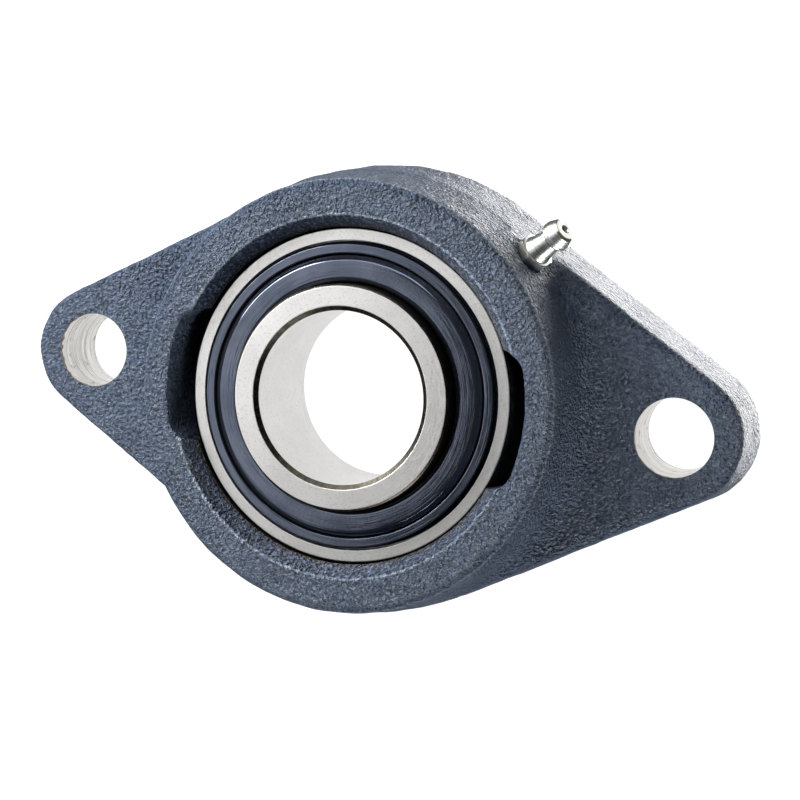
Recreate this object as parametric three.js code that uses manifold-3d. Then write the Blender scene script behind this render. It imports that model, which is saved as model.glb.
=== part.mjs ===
// Two-bolt oval flange bearing unit with a self-aligning ball insert and a tapered bore.
// Millimetres, +Z up. The origin is on the bore axis in the plane of the mounting face,
// +X runs towards one bolt hole and +Z points along the bore, away from the mounting face.
import * as THREE from "three";
import { mergeVertices, toCreasedNormals } from "three/addons/utils/BufferGeometryUtils.js";
import Module from "manifold-3d";

const wasm = await Module();
wasm.setup();

// ---------------------------------------------------------------- driving dimensions

// Flange casting
const BOLT_SPACING = 130;
const BOLT_HOLE_R = 8.05;
const HOLE_EDGE_BREAK = 0.4;
const BODY_R = 48.2; // middle of the base outline
const EAR_R = 15.3; // ends of the base outline
const DRAFT = 0.085; // how far a cast side leans in, per mm of height
const FLANGE_T = 16.2;
const FLANGE_EDGE_R = 1.8;
const BOSS_H = 34;
const BOSS_FRONT_R = 44;
const BOSS_EDGE_R = 2;
const BOSS_FOOT_FILLET = 4;
const BOSS_INSET = 0.1; // the boss wall starts this far inside the flange's side
const BACK_RELIEF_R = 39;
const BACK_RELIEF_DEPTH = 0.8;
const BACK_OPENING_R = 33.5;
const FRONT_OPENING_R = 36.7;
const SLOT_R = 38.2; // wall of the two loading slots
const SLOT_HALF_W = 13.7;
const SLOT_CORNER = 2.8;

// Spherical seat, centred on the balls' plane
const CENTRE_Z = 19;
const SEAT_R = 36.15;
const SEAT_FRONT_Z = 30.1;
const GREASE_GROOVE_DEPTH = 1;
const GREASE_GROOVE_Z = [12.2, 17.8];

// Insert
const OUTER_SPHERE_R = 36;
const OUTER_W = 20;
const FRONT_FACE_Z = CENTRE_Z + OUTER_W / 2;
const OUTER_FACE_R = 34;
const OUTER_SHOULDER_R = 30.4;
const RING_CHAMFER = 0.6;
const SEAL_RECESS_R = 31.72;
const SEAL_RECESS_DEPTH = 2.9;
const RING_GREASE_HOLE_R = 0.9;
const RING_GREASE_DROP = 5.9; // grease holes lie this far below the balls' plane
const INNER_OD_R = 23;
const INNER_FACE_R = 22.6;
const INNER_W = 30;
const INNER_FRONT_Z = 34.5;
const BORE_FRONT_R = 17.6;
const BORE_TAPER = 1 / 24; // radius per mm of length, so 1:12 on the diameter
const BORE_CHAMFER = [1, 0.75]; // across the face, and along the bore
const FLINGER_R = 27.65; // where its rim slopes down from the disc
const FLINGER_T = 0.5;
const FLINGER_PLAY = 0.12;

// Balls and cage
const BALLS = 9;
const BALL_R = 5.556;
const PITCH_R = 26.75;
const GROOVE_R = 5.78;
const GROOVE_PLAY = 0.15;
const CAGE_INNER_R = 24.3;
const CAGE_OUTER_R = 29.2;
const CAGE_T = 0.7;
const CAGE_SPLIT = 0.12; // half the gap between the two pressings
const POCKET_PLAY = 0.32;
const RIVET_R = 0.7;
const RIVET_HEAD_R = 1.3;
const RIVET_HEAD_H = 0.55;
const RIVET_HEAD_TAPER = 0.35;
const RIVET_PLAY = 0.1; // round the shank in its hole
const RIVET_LIFT = 0.03; // under each head

// Grease nipple: where its hexagon meets the lug, and which way it points
const NIPPLE_BASE = new THREE.Vector3(32.9, 32.8, 22);
const NIPPLE_AZIMUTH = 40;
const NIPPLE_ELEVATION = 22;
const NIPPLE_THREAD_R = 2.8;
const NIPPLE_THREAD_L = 5.5;
const THREAD_LEAD = 0.6;
const THREAD_PLAY = 0.15;
const DRILLING_R = 1.6;
const DRILLING_L = 16;
const NIPPLE_HEX_AF = 7;
const NIPPLE_HEX_H = 1.9;
const NIPPLE_HEX_TURN = 9; // puts one corner to the front
const NIPPLE_NECK_R = [3.1, 2.65, 2.45]; // at the hexagon, in the hollow and under the head
const NIPPLE_NECK_Z = [3.7, 6.5];
const NIPPLE_HEAD_R = 3.2;
const NIPPLE_HEAD_Z = [7, 7.9];
const NIPPLE_FACE_R = 2;
const NIPPLE_L = 10;
const NIPPLE_PASSAGE_R = 1.3;
const NIPPLE_MOUTH_R = 0.8;
const BALL_SEAT_Z = NIPPLE_L - 1.6; // where the passage starts to close in to the mouth
const CHECK_BALL_R = 1;
const CHECK_BALL_Z = BALL_SEAT_Z + 0.05;
const SPRING_FOOT_Z = -3.8; // leaves room below for the check ball's travel
const SPRING_R = 0.8;
const SPRING_WIRE_R = 0.16;
const SPRING_TURNS = 5;
const LUG_HALF_L = 11;
const LUG_HALF_W = 6.5;
const LUG_DEPTH = 12;
const LUG_CORNER_R = 2.5;
const SPOT_FACE_R = 5.2;

const SEGMENTS = 40; // round a full turn, on every ring
const SMALL_SEGMENTS = 16; // on the nipple and what is in it

// ---------------------------------------------------------------- materials

function material(color, roughness, metalness) {
  return new THREE.MeshStandardMaterial({ color, roughness, metalness });
}

const castPaint = material(0x3d4653, 0.55, 0.1);
const groundSteel = material(0xc9c8c6, 0.32, 1);
const polishedSteel = material(0xd8d9dc, 0.12, 1);
const pressedSteel = material(0xa9a79f, 0.4, 1);
const blackedSteel = material(0x2c3038, 0.38, 0.7);
const sealRubber = material(0x1d1c1c, 0.6, 0);
const zincPlate = material(0xc4c8c0, 0.3, 1);

// ---------------------------------------------------------------- geometry helpers

const radians = THREE.MathUtils.degToRad;

// Points on an arc, from one angle to another in degrees, both ends included.
function arc(cx, cy, r, from, to, steps) {
  return Array.from({ length: steps + 1 }, (_, i) => {
    const a = radians(from + ((to - from) * i) / steps);
    return new THREE.Vector2(cx + r * Math.cos(a), cy + r * Math.sin(a));
  });
}

// An outline from [radius, height] pairs and arcs, in the order given.
function profile(...items) {
  return items.flatMap((item) => {
    const isArc = item[0] instanceof THREE.Vector2;
    return isArc ? item : [new THREE.Vector2(...item)];
  });
}

// A closed mesh as a manifold solid.
function solid(geometry) {
  const bare = geometry.clone();
  bare.deleteAttribute("normal");
  bare.deleteAttribute("uv");
  const merged = mergeVertices(bare, 1e-4);
  const corners = merged.index.array;
  const kept = [];
  for (let i = 0; i < corners.length; i += 3) {
    const [a, b, c] = [corners[i], corners[i + 1], corners[i + 2]];
    if (a !== b && b !== c && c !== a) kept.push(a, b, c);
  }
  return new wasm.Manifold(
    new wasm.Mesh({
      numProp: 3,
      vertProperties: new Float32Array(merged.attributes.position.array),
      triVerts: new Uint32Array(kept),
    }),
  );
}

// A manifold solid as a named mesh with its own material.
function part(name, shape, finish) {
  const { vertProperties, triVerts } = shape.getMesh();
  const geometry = new THREE.BufferGeometry();
  geometry.setAttribute("position", new THREE.BufferAttribute(vertProperties, 3));
  geometry.setIndex(new THREE.BufferAttribute(triVerts, 1));
  const mesh = new THREE.Mesh(toCreasedNormals(geometry, radians(30)), finish.clone());
  mesh.name = name;
  return mesh;
}

// A profile of (radius, height), anticlockwise, turned about +Z.
function turned(points, segments = SEGMENTS) {
  return solid(new THREE.LatheGeometry(points, segments).rotateX(Math.PI / 2));
}

// A closed ring: its profile ends where it starts.
function turnedRing(points, segments = SEGMENTS) {
  return turned([...points, points[0]], segments);
}

// A shape in XY, extruded from one height to another.
function extruded(shape, from, to, curveSegments = 12) {
  const depth = to - from;
  return solid(
    new THREE.ExtrudeGeometry(shape, { depth, bevelEnabled: false, curveSegments }).translate(0, 0, from),
  );
}

// A plain round bar on the Z axis.
function bar(radius, from, to, segments) {
  return turned(profile([0, from], [radius, from], [radius, to], [0, to]), segments);
}

// A ball at the origin, its poles on the Z axis.
function sphere(radius) {
  return solid(new THREE.SphereGeometry(radius, 12, 8).rotateX(Math.PI / 2));
}

// Closed skin through a stack of outlines with the same number of points.
function loft(sections) {
  const count = sections[0].points.length;
  const positions = [];
  const index = [];
  for (const { points, z } of sections) {
    for (const p of points) positions.push(p.x, p.y, z);
  }
  for (let s = 0; s + 1 < sections.length; s++) {
    for (let i = 0; i < count; i++) {
      const j = (i + 1) % count;
      const [a, b, c, d] = [s * count + i, s * count + j, (s + 1) * count + j, (s + 1) * count + i];
      index.push(a, b, c, a, c, d);
    }
  }
  const last = (sections.length - 1) * count;
  for (let i = 1; i + 1 < count; i++) {
    index.push(0, i + 1, i);
    index.push(last, last + i, last + i + 1);
  }
  const geometry = new THREE.BufferGeometry();
  geometry.setAttribute("position", new THREE.Float32BufferAttribute(positions, 3));
  geometry.setIndex(index);
  return solid(geometry);
}

// The same solid at equal steps of a full turn about Z.
function around(shape, count, offset = 0) {
  return Array.from({ length: count }, (_, i) => shape.rotate([0, 0, offset + (360 * i) / count]));
}

// A solid with each of some cutters taken out of it.
function cutBy(shape, cutters) {
  return cutters.reduce((made, cutter) => made.subtract(cutter), shape);
}

// A solid mirrored in the balls' plane.
function toRear(shape) {
  return shape.mirror([0, 0, 1]).translate([0, 0, 2 * CENTRE_Z]);
}

// Height on a sphere about the balls' plane at a given radius, above (1) or below (-1) it.
function sphereZ(radius, r, side) {
  return CENTRE_Z + side * Math.sqrt(radius ** 2 - r ** 2);
}

// Arc of a sphere about the balls' plane, from one height to another.
function sphereArc(radius, fromZ, toZ, steps) {
  const angle = (z) => THREE.MathUtils.radToDeg(Math.asin((z - CENTRE_Z) / radius));
  return arc(0, CENTRE_Z, radius, angle(fromZ), angle(toZ), steps);
}

// ---------------------------------------------------------------- housing

const SIDE_NORMAL = THREE.MathUtils.radToDeg(Math.acos((BODY_R - EAR_R) / (BOLT_SPACING / 2)));

// Oval outline: two ear arcs and two body arcs, joined by tangent lines.
function ovalOutline(inset) {
  const [ear, body, half] = [EAR_R - inset, BODY_R - inset, BOLT_SPACING / 2];
  return [
    ...arc(half, 0, ear, -SIDE_NORMAL, SIDE_NORMAL, 10),
    ...arc(0, 0, body, SIDE_NORMAL, 180 - SIDE_NORMAL, 8),
    ...arc(-half, 0, ear, 180 - SIDE_NORMAL, 180 + SIDE_NORMAL, 10),
    ...arc(0, 0, body, 180 + SIDE_NORMAL, 360 - SIDE_NORMAL, 8),
  ];
}

// Flange plate with drafted sides and a rounded top edge.
function flangePlate() {
  const roundFrom = FLANGE_T - FLANGE_EDGE_R;
  const rounding = arc(0, roundFrom, FLANGE_EDGE_R, 0, 90, 2).map((p) => ({
    points: ovalOutline(DRAFT * roundFrom + FLANGE_EDGE_R - p.x),
    z: p.y,
  }));
  return loft([{ points: ovalOutline(0), z: 0 }, ...rounding]);
}

// The drafted sides carried on upwards, to trim what stands on the flange.
function sideLimits() {
  const [low, high] = [1, BOSS_H];
  return loft([
    { points: ovalOutline(DRAFT * low), z: low },
    { points: ovalOutline(DRAFT * high), z: high },
  ]);
}

// Boss wall radius at a height: it follows the flange's side, then leans in to the front.
function bossRadius(z) {
  const foot = BODY_R - DRAFT * FLANGE_T - BOSS_INSET;
  return THREE.MathUtils.mapLinear(z, FLANGE_T, BOSS_H, foot, BOSS_FRONT_R);
}

function boss() {
  const [edge, foot] = [BOSS_EDGE_R, FLANGE_T / 2];
  return turned(
    profile(
      [0, foot],
      [BODY_R - DRAFT * foot - BOSS_INSET, foot],
      [bossRadius(FLANGE_T), FLANGE_T],
      arc(bossRadius(BOSS_H - edge) - edge, BOSS_H - edge, edge, 0, 90, 2),
      [0, BOSS_H],
    ),
  );
}

// Cast fillet from the boss down to the ears.
function bossFillet() {
  const fillet = BOSS_FOOT_FILLET;
  const wall = bossRadius(FLANGE_T + fillet);
  const [inside, below] = [wall - fillet, FLANGE_T - fillet / 4];
  const ring = turnedRing(
    profile(
      [inside, below],
      [wall + fillet, below],
      arc(wall + fillet, FLANGE_T + fillet, fillet, 270, 180, 3),
      [inside, FLANGE_T + fillet],
    ),
  );
  return ring.intersect(sideLimits());
}

// Turns and moves a solid built along +Z so that it lies on the nipple's axis.
function onNippleAxis(shape) {
  return shape
    .rotate([0, 90 - NIPPLE_ELEVATION, 0])
    .rotate([0, 0, NIPPLE_AZIMUTH])
    .translate(NIPPLE_BASE.toArray());
}

// Rounded rectangle about the origin.
function roundedRectangle(halfX, halfY, r) {
  const shape = new THREE.Shape();
  shape.absarc(halfX - r, halfY - r, r, 0, Math.PI / 2, false);
  shape.absarc(-halfX + r, halfY - r, r, Math.PI / 2, Math.PI, false);
  shape.absarc(-halfX + r, -halfY + r, r, Math.PI, 1.5 * Math.PI, false);
  shape.absarc(halfX - r, -halfY + r, r, 1.5 * Math.PI, 2 * Math.PI, false);
  return shape;
}

// Lug that gives the nipple a flat seat between the boss and the flange's side.
function nippleLug() {
  const outline = roundedRectangle(LUG_HALF_L, LUG_HALF_W, LUG_CORNER_R);
  return onNippleAxis(extruded(outline, -LUG_DEPTH, 0, 3)).intersect(sideLimits());
}

// Everything the machined middle takes out: back relief, spherical seat, groove, lead-in.
function seatCavity() {
  const [grooveLow, grooveHigh] = GREASE_GROOVE_Z;
  const seatLow = sphereZ(SEAT_R, BACK_OPENING_R, -1);
  const grooveR = SEAT_R + GREASE_GROOVE_DEPTH;
  return turned(
    profile(
      [0, -1],
      [BACK_RELIEF_R, -1],
      [BACK_RELIEF_R, BACK_RELIEF_DEPTH],
      [BACK_OPENING_R, BACK_RELIEF_DEPTH],
      sphereArc(SEAT_R, seatLow, grooveLow, 3),
      sphereArc(grooveR, grooveLow, grooveHigh, 1),
      sphereArc(SEAT_R, grooveHigh, SEAT_FRONT_Z, 5),
      [FRONT_OPENING_R, BOSS_H],
      [FRONT_OPENING_R, BOSS_H + 1],
      [0, BOSS_H + 1],
    ),
  );
}

// Slot through which the outer ring is loaded edgeways, on the +X side.
function loadingSlot() {
  const cornerX = Math.sqrt(SLOT_R ** 2 - SLOT_HALF_W ** 2);
  const wallAngle = Math.asin(SLOT_HALF_W / SLOT_R) - SLOT_CORNER / SLOT_R;
  const wallEnd = new THREE.Vector2(SLOT_R * Math.cos(wallAngle), SLOT_R * Math.sin(wallAngle));
  const shape = new THREE.Shape();
  shape.moveTo(OUTER_SHOULDER_R, -SLOT_HALF_W);
  shape.lineTo(cornerX - SLOT_CORNER, -SLOT_HALF_W);
  shape.quadraticCurveTo(cornerX, -SLOT_HALF_W, wallEnd.x, -wallEnd.y);
  shape.absarc(0, 0, SLOT_R, -wallAngle, wallAngle, false);
  shape.quadraticCurveTo(cornerX, SLOT_HALF_W, cornerX - SLOT_CORNER, SLOT_HALF_W);
  shape.lineTo(OUTER_SHOULDER_R, SLOT_HALF_W);
  return extruded(shape, CENTRE_Z, BOSS_H + 1, 8);
}

// Bolt hole with broken edges, at the origin.
function boltHole() {
  const wide = BOLT_HOLE_R + HOLE_EDGE_BREAK;
  return turned(
    profile(
      [0, -1],
      [wide, -1],
      [wide, 0],
      [BOLT_HOLE_R, HOLE_EDGE_BREAK],
      [BOLT_HOLE_R, FLANGE_T - HOLE_EDGE_BREAK],
      [wide, FLANGE_T],
      [wide, FLANGE_T + 1],
      [0, FLANGE_T + 1],
    ),
    32,
  );
}

// Spot face and tapped hole for the nipple, and the drilling on to the seat's groove.
function greaseDrilling() {
  const thread = NIPPLE_THREAD_R + THREAD_PLAY;
  return onNippleAxis(
    turned(
      profile(
        [0, -DRILLING_L],
        [DRILLING_R, -DRILLING_L],
        [DRILLING_R, -NIPPLE_THREAD_L - 1.5],
        [thread, -NIPPLE_THREAD_L - 0.5],
        [thread, 0],
        [SPOT_FACE_R, 0],
        [SPOT_FACE_R, NIPPLE_L],
        [0, NIPPLE_L],
      ),
      SMALL_SEGMENTS,
    ),
  );
}

function housing() {
  const casting = flangePlate().add(boss()).add(bossFillet()).add(nippleLug());
  const slots = around(loadingSlot(), 2);
  const holes = around(boltHole().translate([BOLT_SPACING / 2, 0, 0]), 2);
  return cutBy(casting, [seatCavity(), ...slots, ...holes, greaseDrilling()]);
}

// ---------------------------------------------------------------- grease nipple

function nippleBody() {
  const [neckFoot, neckHollow, neckTop] = NIPPLE_NECK_R;
  const [neckLow, neckHigh] = NIPPLE_NECK_Z;
  const [headLow, headHigh] = NIPPLE_HEAD_Z;
  const core = turned(
    profile(
      [0, -NIPPLE_THREAD_L],
      [NIPPLE_THREAD_R - THREAD_LEAD, -NIPPLE_THREAD_L],
      [NIPPLE_THREAD_R, -NIPPLE_THREAD_L + THREAD_LEAD],
      [NIPPLE_THREAD_R, NIPPLE_HEX_H / 2],
      [neckFoot, NIPPLE_HEX_H],
      [neckHollow, neckLow],
      [neckTop, neckHigh],
      [NIPPLE_HEAD_R, headLow],
      [NIPPLE_HEAD_R, headHigh],
      [NIPPLE_FACE_R + 0.45, NIPPLE_L - 0.4],
      [NIPPLE_FACE_R, NIPPLE_L],
      [0, NIPPLE_L],
    ),
    SMALL_SEGMENTS,
  );
  return core.add(nippleHexagon()).subtract(nipplePassage());
}

// Hexagon with the corners of its outer end turned off.
function nippleHexagon() {
  const cornerR = NIPPLE_HEX_AF / 2 / Math.cos(Math.PI / 6);
  const shape = new THREE.Shape(arc(0, 0, cornerR, NIPPLE_HEX_TURN, NIPPLE_HEX_TURN + 300, 5));
  const turnedEnd = turned(
    profile(
      [0, 0],
      [cornerR + 1, 0],
      [cornerR + 1, NIPPLE_HEX_H - 0.8],
      [cornerR - 0.5, NIPPLE_HEX_H],
      [0, NIPPLE_HEX_H],
    ),
    SMALL_SEGMENTS,
  );
  return extruded(shape, 0.1, NIPPLE_HEX_H).intersect(turnedEnd);
}

// Bore of the nipple: open at the thread, with a ledge for the spring's foot, and closed in
// at the head to a mouth that the ball seats in.
function nipplePassage() {
  const ledgeZ = -NIPPLE_THREAD_L + THREAD_LEAD;
  return turned(
    profile(
      [0, -NIPPLE_THREAD_L - 1],
      [NIPPLE_MOUTH_R, -NIPPLE_THREAD_L - 1],
      [NIPPLE_MOUTH_R, ledgeZ],
      [NIPPLE_PASSAGE_R, ledgeZ],
      [NIPPLE_PASSAGE_R, BALL_SEAT_Z],
      [NIPPLE_MOUTH_R, BALL_SEAT_Z + 0.8],
      [NIPPLE_MOUTH_R, NIPPLE_L + 1],
      [0, NIPPLE_L + 1],
    ),
    SMALL_SEGMENTS,
  );
}

function checkBall() {
  return sphere(CHECK_BALL_R).translate([0, 0, CHECK_BALL_Z]);
}

// A helix about the Z axis, from one height to another.
class Helix extends THREE.Curve {
  constructor(radius, from, to, turns) {
    super();
    Object.assign(this, { radius, from, to, turns });
  }
  getPoint(t) {
    const a = 2 * Math.PI * this.turns * t;
    const z = THREE.MathUtils.lerp(this.from, this.to, t);
    return new THREE.Vector3(this.radius * Math.cos(a), this.radius * Math.sin(a), z);
  }
}

// Spring from the passage's ledge up to the check ball.
function checkSpring() {
  const top = CHECK_BALL_Z - CHECK_BALL_R - SPRING_WIRE_R - 0.02;
  const path = new Helix(SPRING_R, SPRING_FOOT_Z, top, SPRING_TURNS);
  const wire = new THREE.Shape(arc(0, 0, SPRING_WIRE_R, 0, 270, 3));
  return solid(
    new THREE.ExtrudeGeometry(wire, { extrudePath: path, steps: SPRING_TURNS * 8, bevelEnabled: false }),
  );
}

// ---------------------------------------------------------------- insert rings

function outerRing() {
  const half = OUTER_W / 2;
  const [rear, front] = [CENTRE_Z - half, CENTRE_Z + half];
  const grooveCentre = PITCH_R + BALL_R + GROOVE_PLAY - GROOVE_R;
  const grooveHalf = THREE.MathUtils.radToDeg(Math.acos((OUTER_SHOULDER_R - grooveCentre) / GROOVE_R));
  const ring = turnedRing(
    profile(
      [SEAL_RECESS_R, rear],
      [OUTER_FACE_R, rear],
      sphereArc(OUTER_SPHERE_R, rear + RING_CHAMFER, front - RING_CHAMFER, 6),
      [OUTER_FACE_R, front],
      [SEAL_RECESS_R, front],
      [SEAL_RECESS_R, front - SEAL_RECESS_DEPTH],
      [OUTER_SHOULDER_R, front - SEAL_RECESS_DEPTH],
      arc(grooveCentre, CENTRE_Z, GROOVE_R, grooveHalf, -grooveHalf, 5),
      [OUTER_SHOULDER_R, rear + SEAL_RECESS_DEPTH],
      [SEAL_RECESS_R, rear + SEAL_RECESS_DEPTH],
    ),
  );
  const hole = bar(RING_GREASE_HOLE_R, OUTER_SHOULDER_R - 2, OUTER_SPHERE_R + 2, 10)
    .rotate([0, 90, 0])
    .translate([0, 0, CENTRE_Z - RING_GREASE_DROP]);
  return cutBy(ring, around(hole, 2, 90));
}

function innerRing() {
  const [rear, front] = [INNER_FRONT_Z - INNER_W, INNER_FRONT_Z];
  const edge = INNER_OD_R - INNER_FACE_R;
  const [across, along] = BORE_CHAMFER;
  const boreAt = (z) => BORE_FRONT_R + (front - z) * BORE_TAPER;
  const grooveCentre = PITCH_R - BALL_R - GROOVE_PLAY + GROOVE_R;
  const grooveHalf = THREE.MathUtils.radToDeg(Math.acos((grooveCentre - INNER_OD_R) / GROOVE_R));
  return turnedRing(
    profile(
      [boreAt(rear) + across, rear],
      [INNER_FACE_R, rear],
      [INNER_OD_R, rear + edge],
      arc(grooveCentre, CENTRE_Z, GROOVE_R, 180 + grooveHalf, 180 - grooveHalf, 5),
      [INNER_OD_R, front - edge],
      [INNER_FACE_R, front],
      [BORE_FRONT_R + across, front],
      [boreAt(front - along), front - along],
      [boreAt(rear + along), rear + along],
    ),
  );
}

// ---------------------------------------------------------------- seals

// A ring in front of the balls: its heights are measured from the outer ring's front face.
function sealProfile(...points) {
  return turnedRing(profile(...points)).translate([0, 0, FRONT_FACE_Z]);
}

// Pressed case held in the outer ring's recess: a band that stands proud of the ring's face,
// then a flange inwards that carries the rubber.
function sealCase() {
  return sealProfile(
    [31.05, -2.6],
    [31.55, -2.6],
    [31.55, -1.6],
    [30.98, -1.1],
    [30.94, 0.95],
    [30.7, 1.1],
    [29.3, 0.85],
    [29.1, 0.6],
    [28.9, -1.55],
    [27.65, -1.55],
    [27.65, -2.05],
    [29.2, -2.05],
    [29.6, 0.3],
    [30.4, 0.45],
    [30.5, -1.35],
    [31.05, -1.85],
  );
}

// Rubber lip moulded on the case's flange; it runs just clear of the inner ring.
function sealLip() {
  return sealProfile(
    [23.3, -2.85],
    [24.1, -2.3],
    [27.5, -2.3],
    [27.55, -1.45],
    [28.65, -1.4],
    [28.4, -1.1],
    [27.6, -1],
    [27.1, -1.8],
    [24.1, -1.8],
  );
}

// Pressed flinger: its hub grips the inner ring, its disc covers the lip from the front, and
// its rim slopes down to the seal's band.
function flinger() {
  const [hubR, bendZ, discZ] = [INNER_OD_R + FLINGER_PLAY, 0.4, 1.7];
  const bendR = discZ - bendZ;
  return sealProfile(
    [hubR, -1.2],
    [hubR + FLINGER_T, -1.2],
    arc(hubR + bendR, bendZ, bendR - FLINGER_T, 180, 90, 2),
    [FLINGER_R - 0.15, discZ - FLINGER_T],
    [28.5, 0.3],
    [28.75, 0.75],
    [FLINGER_R, discZ],
    arc(hubR + bendR, bendZ, bendR, 90, 180, 3),
  );
}

// ---------------------------------------------------------------- balls and cage

function ball() {
  return sphere(BALL_R).translate([PITCH_R, 0, CENTRE_Z]);
}

// Height of a ribbon surface over the cage's middle plane: a shell round the nearest ball,
// or the flat land between balls.
function ribbonHeight(r, angle, shellR, land) {
  const offAxis = (r * Math.cos(angle) - PITCH_R) ** 2 + (r * Math.sin(angle)) ** 2;
  return Math.max(land, Math.sqrt(Math.max(0, shellR ** 2 - offAxis)));
}

// One pressing of the cage: a ribbon that arches over each ball and lies flat between them.
function cagePressing() {
  const stations = BALLS * 12;
  const radii = [CAGE_INNER_R, PITCH_R, CAGE_OUTER_R];
  const spacing = (2 * Math.PI) / BALLS;
  const pocket = BALL_R + POCKET_PLAY;
  const positions = [];
  for (let s = 0; s < stations; s++) {
    const turn = (2 * Math.PI * s) / stations;
    const fromBall = turn - Math.round(turn / spacing) * spacing;
    const under = radii.map((r) => [r, ribbonHeight(r, fromBall, pocket, CAGE_SPLIT)]);
    const over = radii.map((r) => [r, ribbonHeight(r, fromBall, pocket + CAGE_T, CAGE_SPLIT + CAGE_T)]);
    for (const [r, z] of [...under, ...over.reverse()]) {
      positions.push(r * Math.cos(turn), r * Math.sin(turn), CENTRE_Z + z);
    }
  }
  const hole = bar(RIVET_R + RIVET_PLAY, CENTRE_Z - 2, CENTRE_Z + 2, 6).translate([PITCH_R, 0, 0]);
  return cutBy(closedLoop(positions, stations), around(hole, BALLS, 180 / BALLS));
}

// Skin through equal sections that follow each other round to the first one.
function closedLoop(positions, stations) {
  const corners = positions.length / 3 / stations;
  const index = [];
  for (let s = 0; s < stations; s++) {
    const here = s * corners;
    const next = ((s + 1) % stations) * corners;
    for (let k = 0; k < corners; k++) {
      const m = (k + 1) % corners;
      index.push(here + k, next + m, here + m, here + k, next + k, next + m);
    }
  }
  const geometry = new THREE.BufferGeometry();
  geometry.setAttribute("position", new THREE.Float32BufferAttribute(positions, 3));
  geometry.setIndex(index);
  return solid(geometry);
}

// Rivet between two pockets, at the first land.
function cageRivet() {
  const seat = CAGE_SPLIT + CAGE_T + RIVET_LIFT;
  const topR = RIVET_HEAD_R - RIVET_HEAD_TAPER;
  const rivet = turned(
    profile(
      [0, -seat - RIVET_HEAD_H],
      [topR, -seat - RIVET_HEAD_H],
      [RIVET_HEAD_R, -seat],
      [RIVET_R, -seat],
      [RIVET_R, seat],
      [RIVET_HEAD_R, seat],
      [topR, seat + RIVET_HEAD_H],
      [0, seat + RIVET_HEAD_H],
    ),
    6,
  );
  return rivet.translate([PITCH_R, 0, CENTRE_Z]).rotate([0, 0, 180 / BALLS]);
}

// ---------------------------------------------------------------- assembly

function numbered(name, shapes, finish) {
  return shapes.map((shape, i) => part(`${name}_${i + 1}`, shape, finish));
}

const unit = new THREE.Group();
unit.add(
  part("housing", housing(), castPaint),
  part("grease_nipple", onNippleAxis(nippleBody()), zincPlate),
  part("nipple_check_ball", onNippleAxis(checkBall()), polishedSteel),
  part("nipple_spring", onNippleAxis(checkSpring()), pressedSteel),
  part("outer_ring", outerRing(), groundSteel),
  part("inner_ring", innerRing(), groundSteel),
  part("seal_case_front", sealCase(), blackedSteel),
  part("seal_case_rear", toRear(sealCase()), blackedSteel),
  part("seal_lip_front", sealLip(), sealRubber),
  part("seal_lip_rear", toRear(sealLip()), sealRubber),
  part("flinger_front", flinger(), blackedSteel),
  part("flinger_rear", toRear(flinger()), blackedSteel),
  part("cage_front", cagePressing(), pressedSteel),
  part("cage_rear", toRear(cagePressing()), pressedSteel),
  ...numbered("cage_rivet", around(cageRivet(), BALLS), pressedSteel),
  ...numbered("ball", around(ball(), BALLS), polishedSteel),
);

export default unit;
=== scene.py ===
import math

import bpy
import numpy as np
import openvdb
from mathutils import Matrix, Vector


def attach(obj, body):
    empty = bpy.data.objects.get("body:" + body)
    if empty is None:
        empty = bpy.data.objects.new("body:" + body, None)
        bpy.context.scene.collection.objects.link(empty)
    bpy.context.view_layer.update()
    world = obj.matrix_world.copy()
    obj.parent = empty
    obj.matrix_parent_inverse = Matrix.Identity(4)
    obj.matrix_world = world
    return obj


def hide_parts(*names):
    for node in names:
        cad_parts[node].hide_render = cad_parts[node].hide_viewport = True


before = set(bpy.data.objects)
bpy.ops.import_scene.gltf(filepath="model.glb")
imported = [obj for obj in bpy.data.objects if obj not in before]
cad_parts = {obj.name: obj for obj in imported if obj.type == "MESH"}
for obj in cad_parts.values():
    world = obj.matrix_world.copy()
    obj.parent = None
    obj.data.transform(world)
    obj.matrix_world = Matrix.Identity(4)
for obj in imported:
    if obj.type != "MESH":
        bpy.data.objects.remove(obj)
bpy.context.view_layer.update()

# The frame's origin is on the bore axis in the mounting face, +Z runs along the bore away from
# that face and +X towards one bolt hole. Shapes are drawn in millimetres and stored in metres.
MM = 0.001

# ---------------------------------------------------------------- dimensions, mm

# Casting
BODY_R = 48.2  # middle of the oval outline
EAR_R = 15.3  # ends of the oval outline
HALF_SPACING = 65.0  # from the bore axis to the axis of a bolt hole
DRAFT = 0.085  # how far a cast side leans in, per mm of height
FLANGE_T = 16.2
FLANGE_EDGE_R = 1.8
BOSS_H = 34.0
BOSS_FRONT_R = 44.0
BOSS_EDGE_R = 2.0
BOSS_INSET = 0.1  # the boss's wall starts this far inside the flange's side
FOOT_FILLET = 4.5
SIDE_EDGE_R = 0.6
OPENING_EDGE_R = 0.4
SLOT_R = 38.2
SLOT_HALF_W = 13.7
SLOT_CORNER_R = 3.2
SLOT_FLOOR_R = 1.0
CENTRE_Z = 19.0  # the balls' plane, which is also the middle of the spherical seat
SEAT_R = 36.15
SEAT_FRONT_Z = 30.1
SEAT_STOCK = 0.5  # iron left on the casting for the seat's cutter
LEAD_IN_OVERLAP = 0.5  # how far the mouth's cone runs down past the front of the seat
GREASE_GROOVE_DEPTH = 1.0
GREASE_GROOVE_Z = (12.2, 17.8)
FRONT_OPENING_R = 36.7
BACK_OPENING_R = 33.5
BACK_RELIEF_R = 39.0
BACK_RELIEF_DEPTH = 0.8
BOLT_HOLE_R = 8.05
HOLE_EDGE_BREAK = 0.15
FOOT_STOCK = 1.0  # iron below the mounting face, cut away to leave it flat

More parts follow.
